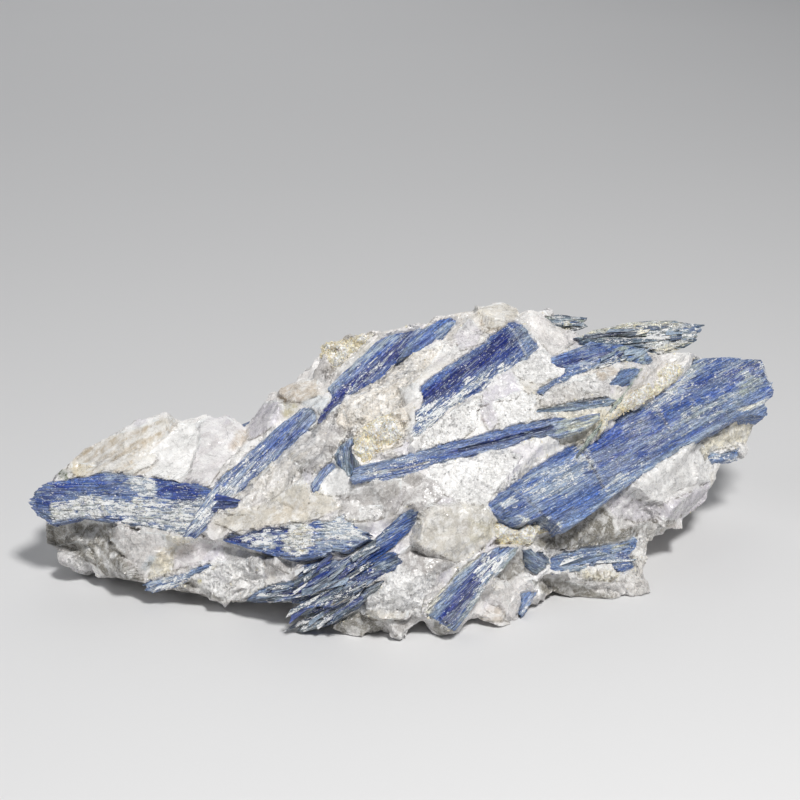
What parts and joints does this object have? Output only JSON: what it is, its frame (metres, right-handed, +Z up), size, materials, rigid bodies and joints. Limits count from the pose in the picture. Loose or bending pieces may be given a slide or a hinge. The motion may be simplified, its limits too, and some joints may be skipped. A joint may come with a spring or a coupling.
{
  "type": "kyanite blade cluster",
  "caption": "Natural hand specimen: flat blue kyanite blades crossing a block of milky quartz, with cream mica clumps, resting on its broken base.",
  "frame": {"origin": "centre of the bounding box on the resting plane", "axes": "+X along the specimen's length, to the right as seen from the display face; -Y out of the display face; +Z up"},
  "size_m": [0.1408, 0.068, 0.0465],
  "materials": {
    "quartz": "milky broken quartz, lightly glassy",
    "kyanite": "bladed blue crystal, silky",
    "mica": "cream flaky crust"
  },
  "bodies": {
    "root": {"kyanite_back_cross": "kyanite", "kyanite_back_left": "kyanite", "kyanite_back_long": "kyanite", "kyanite_back_low": "kyanite", "kyanite_back_right": "kyanite", "kyanite_bottom_bundle": "kyanite", "kyanite_bottom_left_sliver": "kyanite", "kyanite_centre_deep": "kyanite", "kyanite_large_right": "kyanite", "kyanite_left_cross": "kyanite", "kyanite_long_slender": "kyanite", "kyanite_lower_edge_chip": "kyanite", "kyanite_lower_facet": "kyanite", "kyanite_lower_lens": "kyanite", "kyanite_lower_right": "kyanite", "kyanite_lower_stub": "kyanite", "kyanite_right_under": "kyanite", "kyanite_small_leaf_lower": "kyanite", "kyanite_small_leaf_upper": "kyanite", "kyanite_small_sliver": "kyanite", "kyanite_top_back": "kyanite", "kyanite_upper_left": "kyanite", "kyanite_upper_left_second": "kyanite", "kyanite_upper_right_fan": "kyanite", "mica_band_right": "mica", "mica_clump_back": "mica", "mica_clump_centre": "mica", "mica_clump_lower": "mica", "mica_top_left": "mica", "quartz_matrix": "quartz"}
  },
  "joints": []
}
